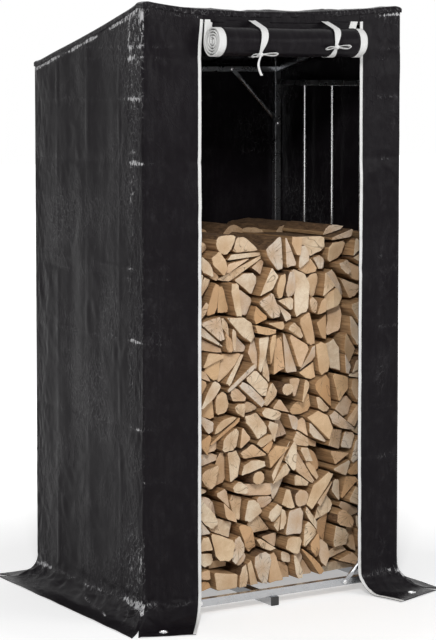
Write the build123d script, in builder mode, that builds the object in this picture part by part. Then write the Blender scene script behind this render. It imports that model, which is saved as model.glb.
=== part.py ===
from build123d import *
import os
from math import acos, atan2, cos, degrees, hypot, pi, radians, sin
from random import Random

# Rack, in millimetres. The front faces -Y and the ground is Z 0.
rack_width = 1000
rack_depth = 750
front_height = 2000
roof_fall = 182
post_size = 25
runner_size = 30
base_rail_size = 25
top_rail_size = 20
tube_wall = 1.2
tube_corner = 2
side_rail_drop = 80
top_rail_front_drop = 55
top_rail_back_drop = 31
runner_stand_out = 8

# Rods at the sides
rods_per_side = 3
rod_diameter = 12

# Corner braces, pressed flat at both ends
brace_leg = 200
brace_diameter = 16
brace_flat_thickness = 3
brace_flat_length = 36
brace_press_length = 20
brace_sides = 12
bolt_inset = 9

# End plugs of the runners
plug_thickness = 3
plug_depth = 12
plug_clearance = 0.3

# Cover sheet, and how far it hangs down between its corners
sheet = 2
fit_gap = 0.5
seam_gap = 0.3
roof_gap = 0.8
roof_strips = 8
front_sag = 27
middle_sag = 25
back_sag = 15
side_sag = 17

# Skirt on the ground
skirt_radius = 86
side_skirt_flat = 26
back_skirt_flat = 42
slit_apex = 50
slit_opening = 27
seam_turn_in = 40

# Front flaps, as they lie on the ground
flap_corner_reach = 115
flap_door_reach_left = 181
flap_door_reach_right = 185
flap_door_shift_left = 126
flap_door_shift_right = 52

# Doorway
left_panel_width = 210
right_panel_width = 170
door_seam_drop = 55
tape_width = 11
tape_thickness = 0.8
layer_gap = 0.2

# Door rolled up under the header
roll_radius = 50
roll_drop = 125
roll_flats = 20
roll_turns = 2.5
roll_layer_step = 5.2
roll_tape_length = 28
roll_tape_thickness = 3
roll_end_gap_left = 12
roll_end_gap_right = 37

# Tie straps with their bows
tie_inset_left = 192
tie_inset_right = 146
strap_width = 26
strap_thickness = 1.5
strap_end_angle = 335
knot_angle = 226
knot_size = 18
bow_length = 34
bow_height = 18
bow_depth = 10
strap_flats = 12
tail_length = 52
tail_width = 15
tail_lean = 14

# Eyelets for ground pegs
eyelet_hole_radius = 8
eyelet_barrel = 1
eyelet_flange_radius = 14
eyelet_flange = 1
eyelet_sides = 24
eyelet_inset = 12.5
eyelet_clearance = 0.3

# Firewood
stack_height = 1190
stack_side_gap = 5
stack_seat = 0.3
log_gap = 0.6
log_front_inset = 60
log_back_inset = 17
log_row_gap = 14
log_end_play = 6
log_spacing = 118
front_log_size = 66
back_log_size = 125
smallest_log_size = 30
blunt_chance = 0.34
blunt_share = (0.15, 0.38)
front_tiers = 5
back_tiers = 2

sides = {"left": -1, "right": 1}
ends = {"front": -1, "back": 1}

# Places that follow from the sizes above
back_height = front_height - roof_fall
side_rail_height = back_height - side_rail_drop
post_x = (rack_width - post_size) / 2
post_y = (rack_depth - post_size) / 2
inner_x = rack_width / 2 - post_size
inner_y = rack_depth / 2 - post_size
rail_top = runner_size + base_rail_size
side_face = rack_width / 2 + fit_gap
back_face = rack_depth / 2 + fit_gap
brace_stand_out = (brace_diameter + brace_flat_thickness) / 2
front_face = rack_depth / 2 + brace_stand_out + fit_gap * 2
cover_x = side_face + sheet
cover_front = front_face + sheet
cover_back = back_face + sheet
cover_middle_y = (cover_back - cover_front) / 2
door_left = left_panel_width - cover_x
door_right = cover_x - right_panel_width
door_top = front_height - door_seam_drop


def save(piece, node):
    """Name a finished piece and write its file."""
    piece.part.label = node
    export_step(piece.part, f"parts/{node}.step")


def tube_section(size):
    """Square tube outline in the open sketch."""
    outline = Rectangle(size, size)
    chamfer(outline.vertices(), tube_corner)
    Rectangle(size - 2 * tube_wall, size - 2 * tube_wall, mode=Mode.SUBTRACT)


def plan_outline(points):
    """Closed straight-sided outline in the open sketch."""
    with BuildLine() as outline:
        Polyline(*points, close=True)
    make_face(outline.edges())


def roof_edge(y):
    """Height of the roof's side edge above a place along the depth."""
    along = (y + cover_front) / (cover_front + cover_back)
    straight = front_height + (back_height - front_height) * along
    return straight - side_sag * 4 * along * (1 - along)


def roof_sag(y):
    """How far the middle of the roof hangs below its side edges."""
    along = (y + cover_front) / (cover_front + cover_back)
    bend = 2 * (front_sag + back_sag) - 4 * middle_sag
    return front_sag + (back_sag - front_sag - bend) * along + bend * along**2


def roof_under(x, y):
    """Height of the roof's underside."""
    return roof_edge(y) - roof_sag(y) * (1 - (x / cover_x) ** 2) - sheet


def post_seat(fore):
    """Plane on which the roof rests on a post, just under the sheet."""
    outer = fore * rack_depth / 2
    inner = fore * inner_y
    low = roof_under(inner_x, inner) - fit_gap
    rise = roof_under(inner_x, outer) - fit_gap - low
    upward = Vector(0, -rise, outer - inner) * fore
    return Plane(origin=(0, inner, low), x_dir=(1, 0, 0), z_dir=upward)


# Base runners, front to back, with their end plugs
runner_x = rack_width / 2 - runner_size / 2
runners = {"left": (-runner_x, 0), "middle": (0, runner_stand_out), "right": (runner_x, 0)}
for place, (x, stand_out) in runners.items():
    start = rack_depth / 2 + stand_out - plug_thickness
    finish = rack_depth / 2 - plug_thickness
    with BuildPart() as runner:
        with BuildSketch(Plane.XZ.offset(start)):
            with Locations((x, runner_size / 2)):
                tube_section(runner_size)
        extrude(amount=-(start + finish))
    save(runner, f"base_runner_{place}")

spigot_size = runner_size - 2 * tube_wall - 2 * plug_clearance
with BuildPart() as plugs:
    for x, stand_out in runners.values():
        for fore, reach in ((-1, stand_out), (1, 0)):
            face = Plane.XZ.offset(-fore * (rack_depth / 2 + reach - plug_thickness))
            with BuildSketch(face):
                with Locations((x, runner_size / 2)):
                    cap = Rectangle(runner_size, runner_size)
                    chamfer(cap.vertices(), tube_corner)
            extrude(amount=-fore * plug_thickness)
            with BuildSketch(face):
                with Locations((x, runner_size / 2)):
                    Rectangle(spigot_size, spigot_size)
            extrude(amount=fore * plug_depth)
save(plugs, "runner_plugs")

# Base rails, side to side on the runners
rod_x = post_x
middle_rail_half = rod_x - rod_diameter / 2 - fit_gap
base_rails = {
    "front": (-post_y, inner_x),
    "middle": (0, middle_rail_half),
    "back": (post_y, inner_x),
}
for place, (y, half) in base_rails.items():
    with BuildPart() as rail:
        with BuildSketch(Plane.YZ):
            with Locations((y, runner_size + base_rail_size / 2)):
                tube_section(base_rail_size)
        extrude(amount=half, both=True)
    save(rail, f"base_rail_{place}")

# Posts, standing on the side runners and cut to the slope of the roof
for end, fore in ends.items():
    for side, hand in sides.items():
        with BuildPart() as post:
            with BuildSketch(Plane.XY.offset(runner_size)):
                with Locations((hand * post_x, fore * post_y)):
                    tube_section(post_size)
            extrude(amount=front_height)
            split(bisect_by=post_seat(fore), keep=Keep.BOTTOM)
        save(post, f"post_{end}_{side}")

# Top rails across the front and the back, level with the posts' inner faces
top_rail_heights = {
    "front": front_height - top_rail_front_drop,
    "back": back_height - top_rail_back_drop,
}
for end, fore in ends.items():
    with BuildPart() as rail:
        with BuildSketch(Plane.YZ):
            with Locations((fore * (inner_y + top_rail_size / 2), top_rail_heights[end])):
                tube_section(top_rail_size)
        extrude(amount=inner_x, both=True)
    save(rail, f"top_rail_{end}")

# Sloping top rails and level side rails between the front and back posts
top_rail_slope = Vector(0, 2 * inner_y, top_rail_heights["back"] - top_rail_heights["front"])
for side, hand in sides.items():
    middle_height = sum(top_rail_heights.values()) / 2
    slope_plane = Plane(origin=(hand * post_x, 0, middle_height), x_dir=(1, 0, 0), z_dir=top_rail_slope)
    with BuildPart() as top_rail:
        with BuildSketch(slope_plane):
            tube_section(top_rail_size)
        extrude(amount=rack_depth, both=True)
        split(bisect_by=Plane.XZ.offset(inner_y), keep=Keep.BOTTOM)
        split(bisect_by=Plane.XZ.offset(-inner_y), keep=Keep.TOP)
    save(top_rail, f"top_rail_{side}")

    with BuildPart() as side_rail:
        with BuildSketch(Plane.XZ.offset(inner_y)):
            with Locations((hand * post_x, side_rail_height)):
                tube_section(top_rail_size)
        extrude(amount=-2 * inner_y)
    save(side_rail, f"side_rail_{side}")

    rod_step = 2 * inner_y / (rods_per_side + 1)
    rod_length = side_rail_height - top_rail_size / 2 - runner_size
    with BuildPart() as rods:
        with BuildSketch(Plane.XY.offset(runner_size)):
            for count in range(rods_per_side):
                with Locations((hand * rod_x, -inner_y + rod_step * (count + 1))):
                    Circle(rod_diameter / 2)
        extrude(amount=rod_length)
    save(rods, f"side_rods_{side}")


def corner_brace(rail_end, post_end):
    """Bar from a bolt on the rail to one on the post, pressed flat at both ends."""
    along = (post_end - rail_end).normalized()
    start = rail_end - along * bolt_inset
    length = (post_end - rail_end).length + 2 * bolt_inset
    pressed = brace_flat_length + brace_press_length
    thin = brace_flat_thickness / 2
    thick = brace_diameter / 2
    half = [(0, thin), (brace_flat_length, thin), (pressed, thick)]
    upper = half + [(length - at, height) for at, height in reversed(half)]
    lower = [(at, -height) for at, height in reversed(upper)]
    with BuildPart() as brace:
        with BuildSketch(Plane(origin=start, x_dir=(0, 1, 0), z_dir=along)):
            RegularPolygon(brace_diameter / 2, brace_sides)
        extrude(amount=length)
        with BuildSketch(Plane(origin=start, x_dir=along, z_dir=along.cross(Vector(0, 1, 0)))):
            plan_outline(upper + lower)
        extrude(amount=brace_diameter, both=True, mode=Mode.INTERSECT)
    return brace


# Braces: the back pair under the top rail, the front pair above the base rail
brace_back_y = inner_y - brace_flat_thickness / 2
brace_front_y = -(rack_depth + brace_flat_thickness) / 2
brace_low = runner_size + base_rail_size / 2
for side, hand in sides.items():
    brace_bolt_x = hand * (post_x - brace_leg)
    rail_bolt = Vector(brace_bolt_x, brace_back_y, top_rail_heights["back"])
    post_bolt = Vector(hand * post_x, brace_back_y, top_rail_heights["back"] - brace_leg)
    save(corner_brace(rail_bolt, post_bolt), f"brace_back_{side}")
    rail_bolt = Vector(brace_bolt_x, brace_front_y, brace_low)
    post_bolt = Vector(hand * post_x, brace_front_y, brace_low + brace_leg)
    save(corner_brace(rail_bolt, post_bolt), f"brace_front_{side}")


def skirt_profile(face, start, thick, reach):
    """Section of a hanging layer that bends out along the ground.

    face is the sheet's inner side, start how far this layer lies outside it.
    """
    centre = (face + skirt_radius, skirt_radius)
    near = face + start
    far = near + thick
    end = face + reach
    with BuildLine() as outline:
        Line((near, front_height), (near, skirt_radius))
        CenterArc(centre, skirt_radius - start, 180, 90)
        Polyline((centre[0], start), (end, start), (end, start + thick), (centre[0], start + thick))
        CenterArc(centre, skirt_radius - start - thick, 180, 90)
        Polyline((far, skirt_radius), (far, front_height), (near, front_height))
    make_face(outline.edges())


def outward_section(outward):
    """Plane of a section whose first axis points outward."""
    return Plane(origin=(0, 0, 0), x_dir=outward, z_dir=Vector(outward).cross(Vector(0, 0, 1)))


def side_elevation():
    """Outline of the side walls, under the sagging edge of the roof."""
    top = sheet + roof_gap
    wide = skirt_radius * 2
    with BuildLine() as outline:
        ThreePointArc(
            (-cover_front, front_height - top),
            (cover_middle_y, roof_edge(cover_middle_y) - top),
            (cover_back, back_height - top),
        )
        Polyline(
            (cover_back, back_height - top),
            (cover_back + wide, 0),
            (-cover_front - wide, 0),
            (-cover_front, front_height - top),
        )
    make_face(outline.edges())


def end_elevation(height, sag):
    """Outline of the front and back walls, under the sagging edge of the roof."""
    top = height - sheet - roof_gap
    wide = cover_x + skirt_radius * 2
    with BuildLine() as outline:
        ThreePointArc((-cover_x, top), (0, top - sag), (cover_x, top))
        Polyline((cover_x, top), (wide, 0), (-wide, 0), (-cover_x, top))
    make_face(outline.edges())


# Side walls of the cover, mitred at the corners down to the slits in the skirt
side_tip = skirt_radius + side_skirt_flat - sheet
for side, hand in sides.items():
    plan = []
    for fore, edge in ((-1, cover_front), (1, cover_back)):
        corner = [
            (hand * (cover_x - seam_turn_in), fore * (edge - seam_turn_in - seam_gap)),
            (hand * (cover_x + slit_apex), fore * (edge + slit_apex - seam_gap)),
            (hand * (cover_x + side_tip), fore * (edge + side_tip - seam_gap)),
        ]
        plan += corner if fore < 0 else corner[::-1]
    with BuildPart() as wall:
        with BuildSketch(outward_section((hand, 0, 0))):
            skirt_profile(side_face, 0, sheet, skirt_radius + side_skirt_flat)
        extrude(amount=rack_depth, both=True)
        with BuildSketch(Plane.XY):
            plan_outline(plan)
        extrude(amount=front_height, mode=Mode.INTERSECT)
        with BuildSketch(Plane.YZ):
            side_elevation()
        extrude(amount=rack_width, both=True, mode=Mode.INTERSECT)
    save(wall, f"cover_wall_{side}")

# Eyelet places: one near each front corner, on the flat of the flaps
eyelet_x = cover_x - eyelet_inset
eyelet_out = skirt_radius + eyelet_flange_radius + eyelet_clearance
eyelet_front = -(front_face + eyelet_out)
eyelet_cut = eyelet_hole_radius + eyelet_barrel + eyelet_clearance

# Back wall of the cover
back_tip = skirt_radius + back_skirt_flat - sheet
plan = []
for hand in (-1, 1):
    corner = [
        (hand * (cover_x - seam_turn_in - seam_gap), cover_back - seam_turn_in),
        (hand * (cover_x + slit_apex - seam_gap), cover_back + slit_apex),
        (hand * (cover_x + back_tip - slit_opening), cover_back + back_tip),
    ]
    plan += corner if hand < 0 else corner[::-1]
with BuildPart() as back_wall:
    with BuildSketch(outward_section((0, 1, 0))):
        skirt_profile(back_face, 0, sheet, skirt_radius + back_skirt_flat)
    extrude(amount=rack_width, both=True)
    with BuildSketch(Plane.XY):
        plan_outline(plan)
    extrude(amount=front_height, mode=Mode.INTERSECT)
    with BuildSketch(Plane.XZ):
        end_elevation(back_height, back_sag)
    extrude(amount=rack_depth, both=True, mode=Mode.INTERSECT)
save(back_wall, "cover_wall_back")

# Front panels beside the doorway, their flaps splayed on the ground, and their edge tapes
door_edges = {"left": door_left, "right": door_right}
door_shifts = {"left": flap_door_shift_left, "right": flap_door_shift_right}
door_reaches = {"left": flap_door_reach_left, "right": flap_door_reach_right}
for side, hand in sides.items():
    edge = door_edges[side]
    edge_foot = (edge + hand * door_shifts[side], -(cover_front + door_reaches[side]))
    plan = [
        (hand * (cover_x - seam_turn_in - seam_gap), seam_turn_in - cover_front),
        (hand * (cover_x + slit_apex - seam_gap), -(cover_front + slit_apex)),
        (hand * (cover_x + flap_corner_reach - slit_opening), -(cover_front + flap_corner_reach)),
        edge_foot,
        (edge, -cover_front),
        (edge, seam_turn_in - cover_front),
    ]
    longest = skirt_radius + flap_corner_reach + door_reaches[side]
    with BuildPart() as panel:
        with BuildSketch(outward_section((0, -1, 0))):
            skirt_profile(front_face, 0, sheet, longest)
        extrude(amount=rack_width, both=True)
        with BuildSketch(Plane.XY):
            plan_outline(plan)
        extrude(amount=front_height, mode=Mode.INTERSECT)
        with BuildSketch(Plane.XZ):
            end_elevation(front_height, front_sag)
        extrude(amount=rack_depth, both=True, mode=Mode.INTERSECT)
        with BuildSketch(Plane.XY):
            with Locations((hand * eyelet_x, eyelet_front)):
                Circle(eyelet_cut)
        extrude(amount=skirt_radius, mode=Mode.SUBTRACT)
    save(panel, f"cover_front_{side}")

    tape_inner = edge + hand * tape_width
    tape_plan = [
        (edge, seam_turn_in - cover_front),
        (edge, -cover_front),
        edge_foot,
        (edge_foot[0] + hand * tape_width, edge_foot[1]),
        (tape_inner, -cover_front),
        (tape_inner, seam_turn_in - cover_front),
    ]
    with BuildPart() as tape:
        with BuildSketch(outward_section((0, -1, 0))):
            skirt_profile(front_face, sheet + layer_gap, tape_thickness, longest)
        extrude(amount=rack_width, both=True)
        with BuildSketch(Plane.XY):
            plan_outline(tape_plan)
        extrude(amount=door_top, mode=Mode.INTERSECT)
    save(tape, f"door_tape_{side}")

# Header above the doorway
with BuildPart() as header:
    with BuildSketch(Plane.XZ.offset(front_face)):
        end_elevation(front_height, front_sag)
    extrude(amount=sheet)
    with BuildSketch(Plane.XY.offset(door_top + seam_gap)):
        with Locations(((door_left + door_right) / 2, -front_face)):
            Rectangle(door_right - door_left - 2 * seam_gap, seam_turn_in)
    extrude(amount=front_height, mode=Mode.INTERSECT)
save(header, "cover_header")

# Roof of the cover: sagging sections at the front, the middle and the back
with BuildPart() as roof:
    for y in (-cover_front, cover_middle_y, cover_back):
        with BuildSketch(Plane.XZ.offset(-y)):
            across = [cover_x * (2 * strip / roof_strips - 1) for strip in range(roof_strips + 1)]
            under = [(x, roof_under(x, y)) for x in across]
            plan_outline(under + [(x, height + sheet) for x, height in reversed(under)])
    loft()
save(roof, "cover_roof")

# Door panel, hanging from its seam behind the roll and wound up outside the header
roll_y = -(cover_front + roll_radius)
roll_z = front_height - roll_drop
roll_left = door_left + roll_end_gap_left
roll_right = door_right - roll_end_gap_right


def round_roll(radius, degree):
    """Point beside the middle of the roll, 0 degrees being nearest the header."""
    return (roll_y + radius * cos(radians(degree)), roll_z + radius * sin(radians(degree)))


def roll_section(thick):
    """Spiral of short flats in from the seam, each turn nearer the middle than the last."""
    outer = []
    inner = []
    for flat in range(int(roll_flats * roll_turns) + 1):
        middle = roll_radius - sheet / 2 - roll_layer_step * flat / roll_flats
        degree = -360 * flat / roll_flats
        outer.append(round_roll(middle + thick / 2, degree))
        inner.append(round_roll(middle - thick / 2, degree))
    seam = roll_y + roll_radius - sheet / 2
    outer.insert(0, (seam + thick / 2, door_top))
    inner.insert(0, (seam - thick / 2, door_top))
    plan_outline(outer + inner[::-1])


with BuildPart() as door_roll:
    with BuildSketch(Plane.YZ.offset(roll_left + roll_tape_length + seam_gap)):
        roll_section(sheet)
    extrude(amount=roll_right - roll_left - 2 * (roll_tape_length + seam_gap))
save(door_roll, "door_roll")

for side, start in (("left", roll_left), ("right", roll_right - roll_tape_length)):
    with BuildPart() as roll_tape:
        with BuildSketch(Plane.YZ.offset(start)):
            roll_section(roll_tape_thickness)
        extrude(amount=roll_tape_length)
    save(roll_tape, f"roll_tape_{side}")

# Tie straps from the door seam round the front of the roll, with a bow low in front
strap_radius = roll_radius + fit_gap + strap_thickness / 2
seam_point = (-(cover_front + sheet + fit_gap + strap_thickness / 2), door_top)
seam_away = hypot(seam_point[0] - roll_y, seam_point[1] - roll_z)
seam_angle = degrees(atan2(seam_point[1] - roll_z, seam_point[0] - roll_y))
touch_angle = seam_angle + degrees(acos(strap_radius / seam_away))
flat_turn = (strap_end_angle - touch_angle) / strap_flats
wrap_radius = strap_radius / cos(radians(flat_turn / 2))
knot_y, knot_z = round_roll(wrap_radius + knot_size / 2, knot_angle)
tie_places = {"left": door_left + tie_inset_left, "right": door_right - tie_inset_right}
for side, x in tie_places.items():
    with BuildPart() as tie:
        with BuildSketch(Plane.YZ.offset(x)):
            turns = [touch_angle + flat_turn * flat for flat in range(strap_flats + 1)]
            outer = [round_roll(wrap_radius + strap_thickness / 2, turn) for turn in turns]
            inner = [round_roll(wrap_radius - strap_thickness / 2, turn) for turn in turns]
            outer.insert(0, (seam_point[0] - strap_thickness / 2, seam_point[1]))
            inner.insert(0, (seam_point[0] + strap_thickness / 2, seam_point[1]))
            plan_outline(outer + inner[::-1])
        extrude(amount=strap_width / 2, both=True)
        with BuildSketch(Plane.YZ.offset(x)):
            with Locations(Location((knot_y, knot_z), knot_angle)):
                Rectangle(knot_size, knot_size)
        extrude(amount=knot_size / 2, both=True)
        for hand in (-1, 1):
            tip = x + hand * (knot_size / 2 + bow_length)
            shoulder = tip - hand * bow_height / 2
            with BuildSketch(Plane.XZ.offset(-knot_y)):
                plan_outline(
                    [
                        (x, knot_z),
                        (shoulder, knot_z + bow_height / 2),
                        (tip, knot_z + bow_height / 4),
                        (tip, knot_z - bow_height / 4),
                        (shoulder, knot_z - bow_height / 2),
                    ]
                )
            extrude(amount=bow_depth / 2, both=True)
            foot = x + hand * (tail_lean + tail_width / 2)
            with BuildSketch(Plane.XZ.offset(-knot_y)):
                plan_outline(
                    [
                        (x, knot_z),
                        (x + hand * tail_width / 2, knot_z),
                        (foot + hand * tail_width / 2, knot_z - tail_length),
                        (foot - hand * tail_width / 2, knot_z - tail_length),
                    ]
                )
            extrude(amount=strap_thickness / 2, both=True)
    save(tie, f"tie_strap_{side}")

# Eyelets: a barrel through the sheet under a flat ring
with BuildPart() as eyelets:
    spots = [(-eyelet_x, eyelet_front), (eyelet_x, eyelet_front)]
    with BuildSketch(Plane.XY.offset(layer_gap)):
        with Locations(*spots):
            RegularPolygon(eyelet_hole_radius + eyelet_barrel, eyelet_sides)
            Circle(eyelet_hole_radius, mode=Mode.SUBTRACT)
    extrude(amount=sheet)
    with BuildSketch(Plane.XY.offset(sheet + layer_gap)):
        with Locations(*spots):
            RegularPolygon(eyelet_flange_radius, eyelet_sides)
            Circle(eyelet_hole_radius, mode=Mode.SUBTRACT)
    extrude(amount=eyelet_flange)
save(eyelets, "eyelets")


def behind_line(outline, point, normal):
    """The part of a convex outline that lies behind a line."""
    kept = []
    for a, b in zip(outline, outline[1:] + outline[:1]):
        ahead_a = (a - point).dot(normal)
        ahead_b = (b - point).dot(normal)
        if ahead_a <= 0:
            kept.append(a)
        if ahead_a * ahead_b < 0:
            kept.append(a + (b - a) * (ahead_a / (ahead_a - ahead_b)))
    return kept


def outline_area(outline):
    """Area inside an outline that runs anticlockwise."""
    pairs = zip(outline, outline[1:] + outline[:1])
    return sum(a.X * b.Y - b.X * a.Y for a, b in pairs) / 2


def outline_middle(outline):
    """Mean of the corners."""
    return sum(outline, Vector()) * (1 / len(outline))


def drawn_in(outline, distance):
    """The outline with every side moved inward."""
    result = outline
    for a, b in zip(outline, outline[1:] + outline[:1]):
        out = Vector((b - a).Y, -(b - a).X).normalized()
        result = behind_line(result, a - out * distance, out)
    return result


def blunted(outline, dice):
    """The outline with some of its corners cut off."""
    result = outline
    for before, corner, after in zip(outline[-1:] + outline[:-1], outline, outline[1:] + outline[:1]):
        if dice.random() < blunt_chance:
            share = dice.uniform(*blunt_share)
            a = corner + (before - corner) * share
            b = corner + (after - corner) * share
            result = behind_line(result, a, Vector((b - a).Y, -(b - a).X).normalized())
    return result


def round_wood(dice):
    """Outlines of uncut logs that fill the stack, seen from the front."""
    half = inner_x - stack_side_gap
    low = rail_top + stack_seat
    high = low + stack_height
    limit = high + log_spacing * 0.3
    field = [Vector(-half, low), Vector(half, low), Vector(half, limit), Vector(-half, limit)]
    columns = round(2 * half / log_spacing)
    rows = round(stack_height / log_spacing) + 1
    play = log_spacing * 0.38
    middles = []
    for row in range(rows + 1):
        for column in range(columns + 1):
            x = -half + (column + 0.5 * (row % 2)) * log_spacing
            z = low + (row + 0.4) * log_spacing
            middles.append(Vector(x + dice.uniform(-play, play), z + dice.uniform(-play, play)))
    for here in middles:
        outline = field
        for other in middles:
            away = other - here
            if 0 < away.length < log_spacing * 3.2:
                outline = behind_line(outline, here + away * 0.5, away)
        if len(outline) > 2 and outline_middle(outline).Y < high - log_spacing * 0.2:
            yield outline


def split_wood(outline, usual_size, dice):
    """Pieces of one log, split again and again down to about the usual size."""
    if outline_area(outline) < usual_size**2 * dice.uniform(0.7, 2.0):
        return [outline]
    turn = dice.uniform(0, pi)
    across = Vector(cos(turn), sin(turn))
    nudge = Vector(dice.uniform(-1, 1), dice.uniform(-1, 1)) * (log_spacing * 0.1)
    middle = outline_middle(outline) + nudge
    halves = [behind_line(outline, middle, across), behind_line(outline, middle, across * -1)]
    return [piece for half in halves for piece in split_wood(half, usual_size, dice)]


def log_row(row, near, far, usual_size, tiers, seed):
    """One row of firewood as tiers, each log a prism along the depth of the store."""
    dice = Random(seed)
    stacked = [[] for _ in range(tiers)]
    for outline in round_wood(dice):
        for piece in split_wood(outline, usual_size, dice):
            face = blunted(drawn_in(piece, log_gap / 2), dice)
            if len(face) > 2 and outline_area(face) > smallest_log_size**2:
                height = outline_middle(face).Y - rail_top
                stacked[min(int(height / stack_height * tiers), tiers - 1)].append(face)
    for tier, faces in enumerate(stacked, 1):
        logs = []
        for face in faces:
            start = near - dice.uniform(-1, 1) * log_end_play
            finish = far - dice.uniform(0, 1) * log_end_play
            corners = [Vector(corner.X, -start, corner.Y) for corner in face]
            cut_end = Face(Wire.make_polygon(corners, close=True))
            logs.append(Solid.extrude(cut_end, Vector(0, start - finish, 0)))
        with BuildPart() as firewood:
            add(logs)
        save(firewood, f"firewood_{row}_tier_{tier}")


log_front = rack_depth / 2 - log_front_inset
log_back = rack_depth / 2 - log_back_inset
log_row("front", log_front, log_row_gap / 2, front_log_size, front_tiers, 7)
log_row("back", -log_row_gap / 2, -log_back, back_log_size, back_tiers, 11)
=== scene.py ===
from math import atan2, cos, exp, pi, radians, sin
from random import Random

import bmesh
import bpy
from mathutils import Matrix, Vector, noise


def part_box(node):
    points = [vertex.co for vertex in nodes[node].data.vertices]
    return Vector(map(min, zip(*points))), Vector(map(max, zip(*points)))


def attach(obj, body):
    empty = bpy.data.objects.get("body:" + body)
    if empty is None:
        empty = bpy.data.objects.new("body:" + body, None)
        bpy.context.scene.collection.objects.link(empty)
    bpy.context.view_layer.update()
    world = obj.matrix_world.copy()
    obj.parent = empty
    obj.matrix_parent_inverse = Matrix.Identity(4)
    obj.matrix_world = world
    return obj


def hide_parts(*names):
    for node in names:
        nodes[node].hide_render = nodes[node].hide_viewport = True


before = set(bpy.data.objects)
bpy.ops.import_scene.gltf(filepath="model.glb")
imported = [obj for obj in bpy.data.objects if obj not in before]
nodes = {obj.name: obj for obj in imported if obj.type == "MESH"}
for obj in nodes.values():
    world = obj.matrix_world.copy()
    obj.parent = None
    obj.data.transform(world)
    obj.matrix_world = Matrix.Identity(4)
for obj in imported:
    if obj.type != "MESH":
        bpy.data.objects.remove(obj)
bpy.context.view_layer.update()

# Cover, in metres: outer faces, roof heights, sags and the doorway
cover_x = 0.5025
cover_front = 0.3875
cover_back = 0.3775
front_height = 2.0
back_height = 1.818
side_sag = 0.011
front_sag = 0.027
middle_sag = 0.025
back_sag = 0.015
door_left = -0.2925
door_right = 0.3325
door_top = 1.945
cloth = 0.0016
cloth_middle = 0.001
post_cap = 0.02
side_cap = 0.045
skirt_bend = 0.086
slit_apex = 0.05
slit_gap = 0.027
side_skirt = 0.11
flap_reach = 0.115
back_reach = 0.126
roof_clearance = 0.0024
# Marks on film with none of its own: a little wear, painted glint and painted sheen
plain_wear_glint = 0.12

# Share of a panel's rows above its bend, and in it
straight_rows = 0.84
bend_rows = 0.1

# White tape on the doorway's edges
tape_width = 0.0115
tape_lift = 0.0014
tape_thickness = 0.0011

# Heights of the folds left from the box, and where they cross the walls
box_folds = (1.856, 1.82, 1.689, 1.485, 1.149, 1.117, 0.915, 0.634, 0.464, 0.255)
upright_folds = (-0.235, -0.02, 0.2)

# Rolled door and its ties
roll_y = -0.4375
roll_z = 1.875
roll_radius = 0.05
roll_left = -0.2805
roll_right = 0.2955
roll_band = 0.028
roll_pitch = 0.0041
roll_turns = 10.4
band_pitch = 0.0092
band_turns = 4.6
band_thickness = 0.0046
hanging_share = 0.035
strap_width = 0.026
strap_thickness = 0.0013
strap_start = 108
strap_end = 332
strap_hanging = 0.18
ties = (
    {"x": -0.1005, "knot": 226, "loops": (0.038, 0.062), "tail": 0.068},
    {"x": 0.1865, "knot": 196, "loops": (0.047, 0.050), "tail": 0.0},
)

eyelet_x = 0.49
eyelet_y = -0.4858
eyelet_hole = 0.0115


# Cloth


def fade(value, low, high):
    """0 below low and 1 above high, with a smooth rise between."""
    share = min(max((value - low) / (high - low), 0.0), 1.0)
    return share * share * (3 - 2 * share)


def hump(off, width):
    """1 at 0, falling away smoothly to both sides."""
    return exp(-((off / width) ** 2))


def swell(x, y, seed):
    """Soft hills and hollows."""
    return noise.noise(Vector((x, y, seed)))


def crumple(x, y, seed):
    """Sharp ridges between shallow facets, as in crushed film."""
    spot = Vector((x + 0.35 * swell(x, y, seed), y + 0.35 * swell(y, x, seed + 5), seed))
    near, _ = noise.voronoi(spot)
    return 1 - min((near[1] - near[0]) * 1.6, 1.0)


def fold_marks(across, height, edge, seed):
    """Furrows and ridges where the cover lay folded in its box."""
    proud = 0.0
    for number, level in enumerate(box_folds):
        off = height - level - 0.006 * swell(across * 6, number * 3.1, seed)
        if abs(off) < 0.06:
            strength = 0.45 + 1.1 * swell(across * 9, number * 5.7, seed + 4)
            strength = max(strength, 0.1) * (1 + 1.6 * exp(-edge / 0.035))
            proud += (-1) ** number * 0.0019 * strength * exp(-abs(off) / 0.006)
            proud -= 0.0012 * strength * hump(off, 0.024)
    for number, line in enumerate(upright_folds):
        off = across - line - 0.004 * swell(height * 4, number * 2.3, seed + 8)
        proud += 0.0035 * max(1 - abs(off) / 0.13, 0.0)
        if abs(off) < 0.05:
            strength = 0.6 + 1.3 * swell(height * 9, number * 4.4, seed + 2)
            proud += 0.0021 * max(strength, 0.1) * exp(-abs(off) / 0.004)
    return proud


def rumple(across, height, edge, seed):
    """How far a hanging sheet stands proud of its plain shape."""
    proud = 0.0026 * swell(across * 4.5, height * 1.4, seed)
    proud += 0.0016 * swell(across * 15, height * 3.2, seed + 3)
    patch = fade(swell(across * 5, height * 4, seed + 21), -0.2, 0.4)
    proud += 0.0024 * patch * crumple(across * 15, height * 9, seed + 6)
    proud += 0.0012 * crumple(across * 41, height * 18, seed + 11) * (0.5 + 0.8 * exp(-edge / 0.1))
    return proud + fold_marks(across, height, edge, seed)


def roof_height(x, y):
    """Height of the roof: level over each post, quick to drop beside the left ones, even beside the right."""
    along = (y + cover_front - side_cap) / (cover_front + cover_back - side_cap - post_cap)
    along = min(max(along, 0.0), 1.0)
    edge = front_height + (back_height - front_height) * along - side_sag * 2.6 * along**0.5 * (1 - along)
    bend = 2 * (front_sag + back_sag) - 4 * middle_sag
    sag = front_sag + (back_sag - front_sag - bend) * along + bend * along**2
    share = min(abs(x) / (cover_x - post_cap), 1.0)
    height = edge - sag * (1 - share ** (3.0 if x < 0 else 1.75))
    return height - 0.003 * fade(abs(x), cover_x - post_cap, cover_x) * fade(abs(along - 0.5), 0.3, 0.5)


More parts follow.
